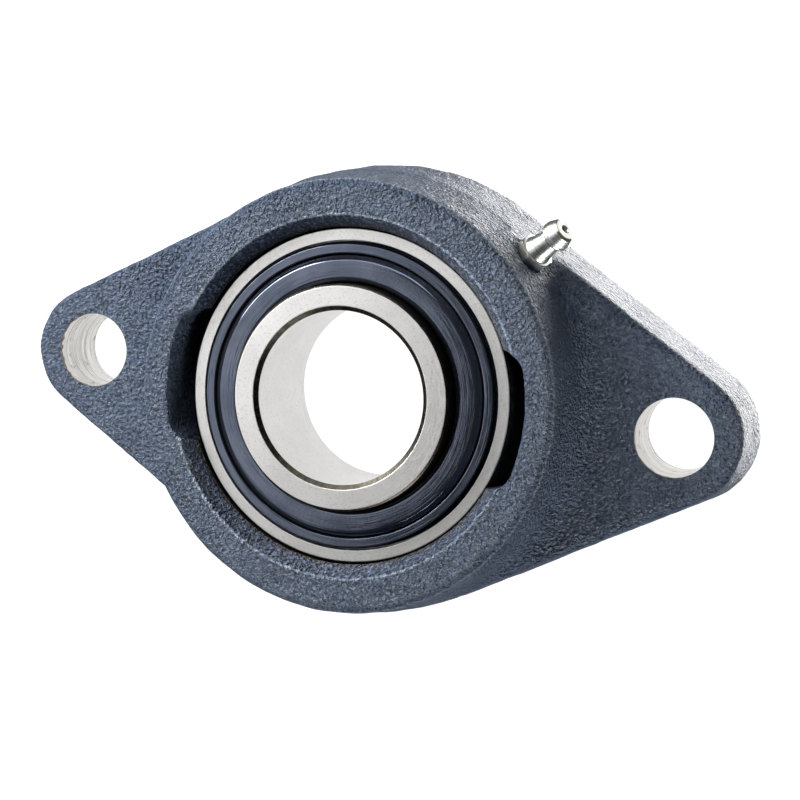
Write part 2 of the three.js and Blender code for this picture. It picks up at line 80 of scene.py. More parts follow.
# Lug behind the nipple, along and across the nipple's own axes
LUG_HALF_L = 11.0
LUG_HALF_W = 6.5
LUG_DEPTH = 12.0
LUG_LIFT = 0.05
LUG_CORNER_R = 2.5
LUG_EDGE_R = 0.8
LUG_FILLET = 1.5
SPOT_FACE_R = 5.2

# Casting's grid and skin
CAST_STEP = 0.45
CAST_LOW = (-82.5, -50.5, -2.0)
CAST_HIGH = (82.5, 50.5, 36.5)
CAST_REACH = 3.0  # distances are clipped beyond this
SKIN_WAVES = ((0.045, 3.4), (0.04, 1.5), (0.03, 0.95))  # height and wavelength of each
SKIN_SINK = 0.1  # lowers the skin, so that its bumps stay inside the CAD's box
SKIN_SEED = 7
FACE_START = 12.0  # above the flange, where the skin starts to get calmer
FACE_BLEND = 5.0  # height over which it does
FACE_CALM = 0.45  # share of the skin that is gone on the boss's face

# Cutters
CUT_BELOW = -3.0  # how far they start under the mounting face
SLAB = (90, 60, 5)  # the mounting face's cutter: half length, half width and depth
TOUCH = 0.01  # faces within this of a machined surface belong to it

# Nipple
NIPPLE_BASE = Vector((32.9, 32.8, 22.0))
NIPPLE_AZIMUTH = math.radians(40)
NIPPLE_ELEVATION = math.radians(22)
NIPPLE_L = 10.0
NIPPLE_HEX_AF = 7.0
NIPPLE_HEX_H = 1.9
NIPPLE_HEX_TURN = 9
NIPPLE_HEX_GAP = 0.08  # under the hexagon
NIPPLE_HEX_BEVEL = (0.5, 0.8)  # across its front face, and down its corners
NIPPLE_EDGE_R = 0.08
NIPPLE_PASSAGE_R = 1.3
NIPPLE_THREAD_R = 2.8
NIPPLE_THREAD_L = 5.5
THREAD_DEPTH = 0.35
THREAD_PITCH = 1.0
THREAD_PLAY = 0.15
DRILLING_R = 1.6
DRILLING_L = 16.0
CHECK_BALL_R = 1.0
CHECK_BALL_DEPTH = 1.55  # its centre, from the nipple's tip
SPRING_R = 0.8
SPRING_WIRE_R = 0.16
SPRING_Z = (-3.8, 7.27)
SPRING_TURNS = 5
SPRING_STEPS = 20  # points in each turn

# Insert
OUTER_SPHERE_R = 36.0
OUTER_HALF_W = 10.0
OUTER_FACE_R = 34.0
OUTER_SHOULDER_R = 30.4
RING_CHAMFER = 0.6
RING_EASE = 0.1  # rounding of the edges of both rings' faces
RING_HOLE_R = 0.9
RING_HOLE_DROP = 5.9  # grease holes lie this far below the balls' plane
RING_HOLE_ENDS = (28, 38)
SEAL_RECESS_R = 31.72
SEAL_RECESS_DEPTH = 2.9
INNER_OD_R = 23.0
INNER_FACE_R = 22.6
INNER_REAR_Z = 4.5
INNER_FRONT_Z = 34.5
INNER_EASE = 0.15  # rounding where the inner ring's outside meets its chamfers
BORE_FRONT_R = 17.6
BORE_TAPER = 1 / 24  # radius per mm of length
BORE_CHAMFER = 0.75  # along the bore
BORE_CHAMFER_REACH = 1.0  # across the face
FLINGER_R = 27.65  # where its rim starts to slope down from the disc
FLINGER_T = 0.5
FLINGER_PLAY = 0.12
BALLS = 9
BALL_R = 5.556
PITCH_R = 26.75
GROOVE_R = 5.78
GROOVE_PLAY = 0.15
CAGE_R = (24.3, 29.2)
CAGE_T = 0.7
CAGE_SPLIT = 0.12  # half the gap between the two pressings
POCKET_PLAY = 0.32
CAGE_STEPS = 32  # sections from one ball to the next
RIVET_R = 0.7
RIVET_HOLE_R = 0.8
RIVET_HEAD_R = 1.3
RIVET_HEAD_H = 0.55
RIVET_HEAD_SQUASH = 0.42
RIVET_LIFT = 0.03

# Stage
FLOOR_SIZE = 6000.0
FLOOR_Z = -0.2
CARD_Z = -0.1
CARD_INSET = 3.0

# Camera and lamps: places in metres, the roll in degrees, the lens and its sensor in mm
CAMERA_PLACE = (0.12271, 0.04412, 0.37779)
CAMERA_TARGET = (0.00735, -0.00064, 0.017)
CAMERA_ROLL = -6.526  # of its upward direction about its line of sight
CAMERA_LENS = 82.18
CAMERA_SENSOR = 36
LAMP_TARGET = (0, 0, 0.015)

# Rounded corners of turned profiles
EASE_SHARE = 0.45  # of a straight, the most that one rounding takes
EASE_HOLD = 0.04  # of a straight, on to the point that keeps its shading flat


# ---------------------------------------------------------------- casting as a distance field

def oval_distance(x, y, inset):
    """Distance to the oval outline: the hull of a big middle circle and two ear circles."""
    along, across = np.abs(x), np.abs(y)
    lean = (BODY_R - EAR_R) / HALF_SPACING
    flat = math.sqrt(1 - lean * lean)
    side = -lean * across + flat * along
    body = np.hypot(along, across) - BODY_R
    ear = np.hypot(along - HALF_SPACING, across) - EAR_R
    line = across * flat + along * lean - BODY_R
    return np.where(side < 0, body, np.where(side > flat * HALF_SPACING, ear, line)) + inset


def round_join(a, b, r):
    """Union of two fields with a fillet of radius r in the corner."""
    reach = np.hypot(np.maximum(r - a, 0), np.maximum(r - b, 0))
    return np.maximum(r, np.minimum(a, b)) - reach


def round_meet(a, b, r):
    """Intersection of two fields with its edge rounded to radius r."""
    reach = np.hypot(np.maximum(r + a, 0), np.maximum(r + b, 0))
    return np.minimum(-r, np.maximum(a, b)) + reach


def boss_wall(z):
    """Boss radius at a height: it leans in from the flange's side to the front edge."""
    foot = BODY_R - DRAFT * FLANGE_T - BOSS_INSET
    return foot + (BOSS_FRONT_R - foot) * (z - FLANGE_T) / (BOSS_H - FLANGE_T)


def nipple_axes():
    """The nipple's own X, Y and Z directions, Z pointing out along it."""
    turn = Matrix.Rotation(NIPPLE_AZIMUTH, 3, "Z")
    return turn @ Matrix.Rotation(math.pi / 2 - NIPPLE_ELEVATION, 3, "Y")


def lug_distance(x, y, z):
    """Rounded block behind the nipple's hexagon."""
    axes = nipple_axes()
    px, py, pz = x - NIPPLE_BASE.x, y - NIPPLE_BASE.y, z - NIPPLE_BASE.z
    u, v, w = (px * axes.col[i].x + py * axes.col[i].y + pz * axes.col[i].z for i in range(3))
    plan = round_meet(np.abs(u) - LUG_HALF_L, np.abs(v) - LUG_HALF_W, LUG_CORNER_R)
    topped = round_meet(plan, w - LUG_LIFT, LUG_EDGE_R)
    return round_meet(topped, -LUG_DEPTH - w, LUG_EDGE_R)


def opening_distance(x, y, z):
    """The openings as cast: the mouth's cone, the two loading slots and the hole through the back."""
    r = np.hypot(x, y)
    seat_r = math.sqrt(SEAT_R**2 - (SEAT_FRONT_Z - CENTRE_Z) ** 2)
    slope = (FRONT_OPENING_R - seat_r) / (BOSS_H - SEAT_FRONT_Z)
    cone = r - (FRONT_OPENING_R + slope * (z - BOSS_H))
    lead_in = np.maximum(cone, SEAT_FRONT_Z - LEAD_IN_OVERLAP - z)
    slots = round_meet(r - SLOT_R, np.abs(y) - SLOT_HALF_W, SLOT_CORNER_R)
    slots = round_meet(slots, CENTRE_Z - z, SLOT_FLOOR_R)
    return np.minimum(np.minimum(lead_in, slots), r - BACK_OPENING_R + SEAT_STOCK)


def lattice_noise(axes, wavelength, rng):
    """Smooth random field on a grid, from a coarse lattice spread by cubic weights."""
    counts = [int((a[-1] - a[0]) / wavelength) + 5 for a in axes]
    field = rng.standard_normal(counts).astype(np.float32)
    for axis, a in enumerate(axes):
        place = (a - a[0]) / wavelength + 1.5
        near = np.arange(counts[axis])
        d = np.abs(place[:, None] - near[None, :])
        inner = 2 / 3 - d**2 + d**3 / 2
        outer = np.clip(2 - d, 0, None) ** 3 / 6
        weights = np.where(d < 1, inner, outer).astype(np.float32)
        field = np.moveaxis(np.tensordot(weights, field, (1, axis)), 0, axis)
    return field / field.std()


def skin_height(axes, z):
    """How far the sand's roughness moves the casting's skin, calmer on the boss's face."""
    rng = np.random.default_rng(SKIN_SEED)
    skin = 0.0
    for height, wavelength in SKIN_WAVES:
        skin = skin + height * lattice_noise(axes, wavelength, rng)
    face = np.clip((z - FLANGE_T - FACE_START) / FACE_BLEND, 0, 1)
    return skin * (1 - FACE_CALM * face)


def casting_field():
    """Distance field of the raw casting, on a grid that starts at its lowest corner."""
    axes = [np.arange(a, b, CAST_STEP, dtype=np.float32) for a, b in zip(CAST_LOW, CAST_HIGH)]
    x, y, z = np.meshgrid(*axes, indexing="ij")
    sides = oval_distance(x, y, DRAFT * z)
    plate = round_meet(sides, z - FLANGE_T, FLANGE_EDGE_R)
    boss = round_meet(np.hypot(x, y) - boss_wall(z), z - BOSS_H, BOSS_EDGE_R)
    raw = round_join(plate, boss, FOOT_FILLET)
    raw = round_join(raw, lug_distance(x, y, z), LUG_FILLET)
    raw = round_meet(raw, sides, SIDE_EDGE_R)
    raw = round_meet(raw, -opening_distance(x, y, z), OPENING_EDGE_R)
    raw = np.maximum(raw, -FOOT_STOCK - z)
    return raw + skin_height(axes, z) + SKIN_SINK


# ---------------------------------------------------------------- mesh helpers

def new_object(name, data):
    """Object of the given mesh, curve, light or camera, linked into the scene."""
    obj = bpy.data.objects.new(name, data)
    bpy.context.scene.collection.objects.link(obj)
    return obj


def mesh_object(name, points, faces, sharp=35):
    """Object from points in mm and faces, smooth except where faces meet at a sharp angle."""
    mesh = bpy.data.meshes.new(name)
    mesh.from_pydata((np.asarray(points, float) * MM).tolist(), [], [tuple(f) for f in faces])
    mesh.shade_smooth()
    mesh.set_sharp_from_angle(angle=math.radians(sharp))
    return new_object(name, mesh)


def arc(cx, cz, r, start, end, steps):
    """Points on an arc between two angles in degrees, both ends included."""
    angles = np.radians(np.linspace(start, end, steps + 1))
    return [(cx + r * math.cos(a), cz + r * math.sin(a)) for a in angles]


def eased(corners, steps=3):
    """Profile with rounded corners: each corner is (radius, height) or (radius, height, ease).

    Each rounding ends in a point just along the straight, which keeps the straight flat in shading.
    """
    points = []
    count = len(corners)
    for i, corner in enumerate(corners):
        here = Vector(corner[:2])
        ease = corner[2] if len(corner) > 2 else 0
        if not ease:
            points.append(tuple(here))
            continue
        before = Vector(corners[i - 1][:2]) - here
        after = Vector(corners[(i + 1) % count][:2]) - here
        reach = min(ease, EASE_SHARE * before.length, EASE_SHARE * after.length)
        a = here + before.normalized() * reach
        b = here + after.normalized() * reach
        points.append(tuple(a + before * EASE_HOLD))
        for k in range(steps + 1):
            t = k / steps
            p = a * (1 - t) ** 2 + here * 2 * t * (1 - t) + b * t**2
            points.append(tuple(p))
        points.append(tuple(b + after * EASE_HOLD))
    return points


def lathe(name, profile, segments=192, closed=True, sharp=35):
    """A profile of (radius, height) turned about Z. An open profile starts and ends on the axis."""
    columns = []
    points = []
    for i, (r, z) in enumerate(profile):
        if not closed and i in (0, len(profile) - 1):
            columns.append([len(points)] * segments)
            points.append((0, 0, z))
            continue
        columns.append(list(range(len(points), len(points) + segments)))
        for s in range(segments):
            a = 2 * math.pi * s / segments
            points.append((r * math.cos(a), r * math.sin(a), z))
    faces = []
    last = len(profile) if closed else len(profile) - 1
    for i in range(last):
        low, high = columns[i], columns[(i + 1) % len(profile)]
        for s in range(segments):
            t = (s + 1) % segments
            corners = dict.fromkeys((low[s], low[t], high[t], high[s]))
            faces.append(tuple(corners))
    return mesh_object(name, points, faces, sharp)


def placed(obj, matrix):
    """Moves an object's mesh, leaving the object at the origin."""
    obj.data.transform(matrix)
    return obj


def on_nipple_axis(obj):
    """Moves a piece drawn about +Z on to the nipple's axis."""
    turn = nipple_axes().to_4x4()
    return placed(obj, Matrix.Translation(NIPPLE_BASE * MM) @ turn)


def on_pitch_circle(step):
    """Move from the origin to a place on the balls' circle, counted in balls from +X."""
    angle = 2 * math.pi * step / BALLS
    place = (PITCH_R * math.cos(angle) * MM, PITCH_R * math.sin(angle) * MM, CENTRE_Z * MM)
    return Matrix.Translation(place)


def combine(obj, other, operation, solver="MANIFOLD"):
    """Joins other into obj, or cuts it away, and deletes other."""
    modifier = obj.modifiers.new("combine", "BOOLEAN")
    modifier.operation = operation
    modifier.solver = solver
    modifier.object = other
    depsgraph = bpy.context.evaluated_depsgraph_get()
    made = bpy.data.meshes.new_from_object(obj.evaluated_get(depsgraph))
    made.materials.clear()
    obj.modifiers.clear()
    old = obj.data
    obj.data = made
    made.name = old.name
    bpy.data.meshes.remove(old)
    bpy.data.objects.remove(other)
    return obj


def smooth_with_edges(obj, sharp):
    """Smooth shading, except where faces meet at more than the given angle in degrees."""
    obj.data.shade_smooth()
    obj.data.set_sharp_from_angle(angle=math.radians(sharp))
    return obj


# ---------------------------------------------------------------- material helpers

class Nodes:
    """Short calls for building a material's node tree."""

    def __init__(self, name):
        self.material = bpy.data.materials.new(name)
        self.material.use_nodes = True
        self.tree = self.material.node_tree
        self.shader = self.tree.nodes["Principled BSDF"]

    def add(self, kind, **settings):
        """New node with its properties set."""
        node = self.tree.nodes.new(kind)
        for key, value in settings.items():
            setattr(node, key, value)
        return node

    def link(self, source, target):
        """Joins an output to an input, and returns the output."""
        self.tree.links.new(source, target)
        return source

    def fixed(self, **values):
        """Sets numbers or colours on the shader's own sockets, named with underscores for spaces."""
        for key, value in values.items():
            self.shader.inputs[key.replace("_", " ")].default_value = value

    def position(self):
        """Where the point is on the object, in metres."""
        return self.add("ShaderNodeTexCoord").outputs["Object"]

    def cylindrical(self):
        """Radius, angle and height about the bore axis."""
        split = self.add("ShaderNodeSeparateXYZ")
        self.link(self.position(), split.inputs[0])
        x, y, z = split.outputs
        return self.length(x, y), self.math("ARCTAN2", y, x), z

    def polar(self, radial, around, height):
        """The cylindrical coordinates, each with its own scale, for stretching a texture."""
        join = self.add("ShaderNodeCombineXYZ")
        for socket, value, scale in zip(join.inputs, self.cylindrical(), (radial, around, height)):
            self.link(self.math("MULTIPLY", value, scale), socket)
        return join.outputs[0]

    def from_circle(self, radius, height):
        """Distance in metres to a circle about the bore axis, given by its radius and height in mm."""
        r, _, z = self.cylindrical()
        outwards = self.math("SUBTRACT", r, radius * MM)
        upwards = self.math("SUBTRACT", z, height * MM)
        return self.length(outwards, upwards)

    def length(self, a, b):
        """Length of a vector with these two parts, at right angles."""
        square = self.math("ADD", self.math("MULTIPLY", a, a), self.math("MULTIPLY", b, b))
        return self.math("SQRT", square)

    def math(self, operation, a, b=0.0):
        """One calculation; each operand is a number or a socket."""
        node = self.add("ShaderNodeMath", operation=operation)
        for socket, value in zip(node.inputs, (a, b)):
            if isinstance(value, (int, float)):
                socket.default_value = value
            else:
                self.link(value, socket)
        return node.outputs[0]

    def noise(self, scale, detail=3.0, vector=None, roughness=0.5, distortion=0.0):
        """Noise from 0 to 1, over the object's own coordinates unless others are given."""
        node = self.add("ShaderNodeTexNoise")
        self.link(vector or self.position(), node.inputs["Vector"])
        node.inputs["Scale"].default_value = scale
        node.inputs["Detail"].default_value = detail
        node.inputs["Roughness"].default_value = roughness
        node.inputs["Distortion"].default_value = distortion
        return node.outputs["Fac"]

    def ramp(self, value, low, high, start=0.0, end=1.0):
        """Maps a value from [low, high] to [start, end], clamped."""
        node = self.add("ShaderNodeMapRange", clamp=True)
        self.link(value, node.inputs["Value"])
        limits = {"From Min": low, "From Max": high, "To Min": start, "To Max": end}
        for key, number in limits.items():
            node.inputs[key].default_value = number
        return node.outputs["Result"]

    def blend(self, factor, first, second):
        """Mixes two colours; each is a tuple or a socket."""
        node = self.add("ShaderNodeMix", data_type="RGBA")
        self.link(factor, node.inputs["Factor"])
        for socket, value in zip(node.inputs[6:8], (first, second)):
            if isinstance(value, tuple):
                socket.default_value = (*value, 1)
            else:
                self.link(value, socket)
        return node.outputs[2]

    def bump(self, height, strength, distance, normal=None):
        """Surface direction for a relief of this height, in metres, on top of another if given."""
        node = self.add("ShaderNodeBump")
        node.inputs["Strength"].default_value = strength
        node.inputs["Distance"].default_value = distance
        self.link(height, node.inputs["Height"])
        if normal:
            self.link(normal, node.inputs["Normal"])
        return node.outputs["Normal"]

    def colour(self, socket):
        """Feeds the shader's colour."""
        self.link(socket, self.shader.inputs["Base Color"])

    def roughness(self, socket):
        """Feeds the shader's roughness."""
        self.link(socket, self.shader.inputs["Roughness"])

    def normal(self, socket):
        """Feeds the shader's surface direction."""
        self.link(socket, self.shader.inputs["Normal"])


# ---------------------------------------------------------------- materials

def painted_mouth_shade(n, peel, height):
    """Painted shade on the wall of the boss's mouth, and a painted black shadow line down by the
    insert.
    """
    # Darker blue paint with pale specks on the mouth's wall: painted shade.
    shaded_wall = n.blend(n.ramp(peel, 0.50, 0.66), (0.011, 0.021, 0.046), (0.098, 0.145, 0.250))
    # Near black towards the insert: painted shadow in the gap round the ring.
    painted_gap_shadow = n.ramp(height, (SEAT_FRONT_Z + 0.9) * MM, (SEAT_FRONT_Z + 0.1) * MM)
    return n.blend(painted_gap_shadow, shaded_wall, (0.004, 0.005, 0.008))


def edge_wear_and_highlight(n, peel):
    """Painted highlight with ragged worn paint, from 0 to 1, along the two edges of the boss's face."""
    ragged = n.ramp(peel, 0.35, 0.65, 0.0002, -0.0001)
    inner_edge = n.math("ADD", n.from_circle(FRONT_OPENING_R + 0.15, BOSS_H - 0.1), ragged)
    outer_edge = n.math("ADD", n.from_circle(BOSS_FRONT_R, BOSS_H - 1.4), ragged)
    # Inner edge: painted highlight, ragged like worn paint.
    inner_wear_and_highlight = n.ramp(inner_edge, 0.0005, 0.0001)
    # Outer edge: a fainter painted highlight.
    outer_highlight = n.ramp(outer_edge, 0.0007, 0.0002, 0.0, 0.45)
    return n.math("MAXIMUM", inner_wear_and_highlight, outer_highlight)


def cast_paint():
    """Slate blue-grey paint over sand-cast iron: orange peel with painted highlights on its bumps and
    painted shade in its pits, painted shade in the boss's mouth, and a painted highlight along the worn
    edges.
    """
    n = Nodes("cast_paint")
    n.fixed(Specular_IOR_Level=0.35)
    mottle = n.noise(160, 4)
    peel = n.noise(1350, 2, roughness=0.55, distortion=0.3)
    fine = n.noise(3200, 2)
    shade = n.blend(n.ramp(mottle, 0.35, 0.68), (0.040, 0.059, 0.098), (0.064, 0.089, 0.138))
    # Lighter on the peel's high spots: painted highlight. Darker in its low spots: painted shade in the
    # pits.
    high = n.blend(n.ramp(peel, 0.52, 0.74), shade, (0.120, 0.156, 0.218))
    coat_with_painted_shade = n.blend(n.ramp(peel, 0.42, 0.28), high, (0.012, 0.018, 0.030))
    radius, _, height = n.cylindrical()
    # Inside the mouth the coat gives way to painted shade and a painted shadow line.
    mouth_shade_mask = n.ramp(radius, (FRONT_OPENING_R + 0.15) * MM, (FRONT_OPENING_R - 0.15) * MM)
    coat_with_painted_shade = n.blend(mouth_shade_mask, coat_with_painted_shade, painted_mouth_shade(n, peel, height))
    # Pale blue-grey along the face's edges: painted highlight, partly worn paint.
    n.colour(n.blend(edge_wear_and_highlight(n, peel), coat_with_painted_shade, (0.26, 0.31, 0.38)))
    n.roughness(n.ramp(fine, 0.3, 0.7, 0.30, 0.46))
    lumps = n.bump(peel, 1.0, 0.0028)
    n.normal(n.bump(fine, 0.6, 0.0002, lumps))
    return n.material


def turned_iron():
    """Bare machined iron with fine concentric tool marks about the bore."""
    n = Nodes("turned_iron")
    n.fixed(Metallic=1.0)
    rings = n.noise(1.0, 2, n.polar(9000, 1.2, 9000))
    stain = n.noise(220, 4)
    n.colour(n.blend(n.ramp(stain, 0.45, 0.75), (0.52, 0.51, 0.49), (0.34, 0.32, 0.30)))
    n.roughness(n.ramp(rings, 0.3, 0.7, 0.28, 0.46))
    n.normal(n.bump(rings, 0.35, 0.00008))
    return n.material


def drilled_iron():
    """Bright drilled wall with feed marks, browned here and there and along its front rim."""
    n = Nodes("drilled_iron")
    n.fixed(Metallic=1.0)
    layers = n.add("ShaderNodeMapping")
    layers.inputs["Scale"].default_value = (90, 90, 2400)
    n.link(n.position(), layers.inputs["Vector"])
    feed = n.noise(1.0, 3, layers.outputs[0])
    rust = n.noise(520, 5)
    split = n.add("ShaderNodeSeparateXYZ")
    n.link(n.position(), split.inputs[0])
    near_rim = n.ramp(split.outputs[2], (FLANGE_T - 1.6) * MM, FLANGE_T * MM, 0.0, 0.36)
    browned = n.math("ADD", rust, near_rim)
    shade = n.blend(n.ramp(feed, 0.38, 0.62), (0.46, 0.45, 0.43), (0.80, 0.79, 0.77))
    n.colour(n.blend(n.ramp(browned, 0.62, 0.72), shade, (0.22, 0.14, 0.075)))
    n.roughness(n.ramp(feed, 0.3, 0.7, 0.20, 0.42))
    n.normal(n.bump(feed, 0.8, 0.0003))
    return n.material


def ground_steel():
    """Ground bearing steel: light satin grey with a fine grain round the axis."""
    n = Nodes("ground_steel")
    n.fixed(Metallic=1.0)
    grain = n.noise(1.0, 3, n.polar(5200, 16, 5200))
    speck = n.noise(2600, 2)
    cloud = n.ramp(n.noise(90, 3), 0.35, 0.65)
    shade = n.blend(cloud, (0.63, 0.625, 0.615), (0.70, 0.695, 0.685))
    n.colour(n.blend(n.ramp(speck, 0.55, 0.75), shade, (0.50, 0.49, 0.475)))
    n.roughness(n.ramp(grain, 0.3, 0.7, 0.30, 0.44))
    n.normal(n.bump(speck, 0.25, 0.00003, n.bump(grain, 0.12, 0.00004)))
    return n.material


def shaded_steel():
    """Ground steel painted near black, a painted shade, on the insert's spherical outside and on the
    inner ring's outside.
    """
    n = Nodes("shaded_steel")
    n.fixed(Metallic=1.0)
    shade_streaks = n.noise(1.0, 3, n.polar(900, 24, 900))
    # Near black with faint streaks round the axis: painted shade in the gaps round the rings.
    n.colour(n.blend(n.ramp(shade_streaks, 0.35, 0.7), (0.018, 0.017, 0.014), (0.050, 0.044, 0.034)))
    n.roughness(n.ramp(shade_streaks, 0.3, 0.7, 0.30, 0.42))
    n.normal(n.bump(shade_streaks, 0.1, 0.00004))
    return n.material


def polished_steel():
    """Lapped ball steel with a trace of micro scratches."""
    n = Nodes("polished_steel")
    n.fixed(Metallic=1.0)
    haze = n.noise(600, 4)
    n.colour(n.blend(n.ramp(haze, 0.4, 0.7), (0.78, 0.785, 0.79), (0.70, 0.70, 0.71)))
    n.roughness(n.ramp(haze, 0.3, 0.7, 0.06, 0.14))
    n.normal(n.bump(n.noise(2600, 2), 0.04, 0.00002))
    return n.material


def pressed_steel():
    """Plain strip and wire: dull grey with rolling streaks."""
    n = Nodes("pressed_steel")
    n.fixed(Metallic=1.0)
    streak = n.noise(1.0, 3, n.polar(2400, 10, 2400))
    n.colour(n.blend(n.ramp(streak, 0.35, 0.65), (0.44, 0.43, 0.41), (0.56, 0.55, 0.53)))
    n.roughness(n.ramp(streak, 0.3, 0.7, 0.34, 0.5))
    n.normal(n.bump(n.noise(1500, 3), 0.15, 0.00005))
    return n.material


def black_steel():
    """Blue-black coated pressing with a satin sheen and faint rings from spinning."""
    n = Nodes("black_steel")
    n.fixed(Specular_IOR_Level=0.6, Metallic=0.9)
    rings = n.noise(1.0, 2, n.polar(3600, 3, 3600))
    speck = n.noise(1900, 3)
    cloud = n.noise(120, 3)
    n.colour(n.blend(n.ramp(cloud, 0.35, 0.7), (0.066, 0.078, 0.108), (0.098, 0.112, 0.150)))
    n.roughness(n.ramp(rings, 0.3, 0.7, 0.08, 0.15))
    n.normal(n.bump(speck, 0.12, 0.00005, n.bump(rings, 0.25, 0.0001)))
    return n.material


def seal_rubber():
    """Matt nitrile rubber, slightly brown where it is dusty."""
    n = Nodes("seal_rubber")
    dust = n.noise(420, 4)
    n.colour(n.blend(n.ramp(dust, 0.45, 0.75), (0.016, 0.015, 0.014), (0.045, 0.038, 0.032)))
    n.roughness(n.ramp(dust, 0.3, 0.7, 0.52, 0.7))
    n.normal(n.bump(n.noise(2400, 3), 0.2, 0.00005))
    return n.material


def zinc_plate():
    """Bright zinc plating with a faint yellow passivation, and turning marks round the nipple."""
    n = Nodes("zinc_plate")
    n.fixed(Metallic=1.0)
    along = n.add("ShaderNodeVectorMath", operation="DOT_PRODUCT")
    n.link(n.position(), along.inputs[0])
    along.inputs[1].default_value = nipple_axes().col[2]
    join = n.add("ShaderNodeCombineXYZ")
    n.link(n.math("MULTIPLY", along.outputs["Value"], 3600), join.inputs[0])
    marks = n.noise(1.0, 2, join.outputs[0])
    tint = n.noise(420, 3)
    n.colour(n.blend(n.ramp(tint, 0.44, 0.58), (0.60, 0.62, 0.62), (0.56, 0.565, 0.49)))
    n.roughness(n.ramp(marks, 0.3, 0.7, 0.24, 0.38))
    n.normal(n.bump(marks, 0.5, 0.0001))
    return n.material


def floor_paper():
    """Plain pale backdrop, lit from within so that it is clean through the openings."""
    n = Nodes("floor_paper")
    tooth = n.noise(60, 2)
    n.colour(n.blend(tooth, (0.18, 0.18, 0.18), (0.2, 0.2, 0.2)))
    n.fixed(Roughness=0.9, Specular_IOR_Level=0.2)
    n.fixed(Emission_Color=(1, 1, 1, 1), Emission_Strength=1.0)
    return n.material


LOOKS = {
    "cast_paint": cast_paint(),
    "turned_iron": turned_iron(),
    "drilled_iron": drilled_iron(),
    "ground_steel": ground_steel(),
    "shaded_steel": shaded_steel(),
    "ball_steel": polished_steel(),
    "pressed_steel": pressed_steel(),
    "black_steel": black_steel(),
    "seal_rubber": seal_rubber(),
    "zinc_plate": zinc_plate(),
    "floor_paper": floor_paper(),
}


def fit(obj, slot, body, *nodes):
    """Gives a piece its finish and body, and hides the CAD nodes that it stands for."""
    if not obj.data.materials:
        obj.data.materials.append(LOOKS[slot])
    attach(obj, body)
    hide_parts(*nodes)
    return obj


# ---------------------------------------------------------------- housing

def raw_casting():
    """The casting's skin as one closed mesh."""
    grid = openvdb.FloatGrid(background=CAST_REACH)
    grid.copyFromArray(np.clip(casting_field(), -CAST_REACH, CAST_REACH))
    points, quads = grid.convertToQuads()
    points = points * CAST_STEP + np.array(CAST_LOW)
    return mesh_object("casting", points, quads, sharp=180)


def bolt_drill(side):
    """Cutter for one bolt hole, with its broken edges, on the +X (1) or -X (-1) side."""
    wide = BOLT_HOLE_R + HOLE_EDGE_BREAK
    above = FLANGE_T + 1
    profile = [
        (0, CUT_BELOW), (wide, CUT_BELOW), (wide, 0), (BOLT_HOLE_R, HOLE_EDGE_BREAK),
        (BOLT_HOLE_R, FLANGE_T - HOLE_EDGE_BREAK), (wide + 1, above), (0, above),
    ]
    cutter = lathe("bolt_drill", profile, 96, closed=False)
    return placed(cutter, Matrix.Translation((side * HALF_SPACING * MM, 0, 0)))


def sphere_arc(r, low, high, steps):
    """Profile points on a sphere about the insert's middle, between two heights."""
    start, end = (math.degrees(math.asin((z - CENTRE_Z) / r)) for z in (low, high))
    return arc(0, CENTRE_Z, r, start, end, steps)


def seat_cutter():
    """Cutter for the back relief, the back opening, and the spherical seat with its grease groove."""
    seat_foot = CENTRE_Z - math.sqrt(SEAT_R**2 - BACK_OPENING_R**2)
    groove_low, groove_high = GREASE_GROOVE_Z
    profile = [
        (0, CUT_BELOW), (BACK_RELIEF_R, CUT_BELOW), (BACK_RELIEF_R, BACK_RELIEF_DEPTH),
        (BACK_OPENING_R, BACK_RELIEF_DEPTH),
        *sphere_arc(SEAT_R, seat_foot, groove_low, 8),
        *sphere_arc(SEAT_R + GREASE_GROOVE_DEPTH, groove_low, groove_high, 4),
        *sphere_arc(SEAT_R, groove_high, SEAT_FRONT_Z, 14),
        (0, SEAT_FRONT_Z),
    ]
    return lathe("seat_cutter", profile, 192, closed=False)


def nipple_cutter():
    """Cutter for the nipple's spot face and tapped hole, and the drilling on to the seat."""
    thread = NIPPLE_THREAD_R + THREAD_PLAY
    hole_end = -NIPPLE_THREAD_L - 0.5
    profile = [
        (0, -DRILLING_L), (DRILLING_R, -DRILLING_L), (DRILLING_R, hole_end - 1), (thread, hole_end),
        (thread, 0), (SPOT_FACE_R, 0), (SPOT_FACE_R, NIPPLE_L), (0, NIPPLE_L),
    ]
    return on_nipple_axis(lathe("nipple_cutter", profile, 64, closed=False))


def back_plane():
    """Slab under the mounting face, to cut it flat."""
    half_x, half_y, depth = SLAB
    sides = (-half_x, half_x)
    ends = (-half_y, half_y)
    corners = [(x, y, z) for x in sides for y in ends for z in (-depth, 0)]
    faces = [(0, 1, 3, 2), (4, 6, 7, 5), (0, 4, 5, 1), (2, 3, 7, 6), (0, 2, 6, 4), (1, 5, 7, 3)]
    return mesh_object("back_plane", corners, faces)


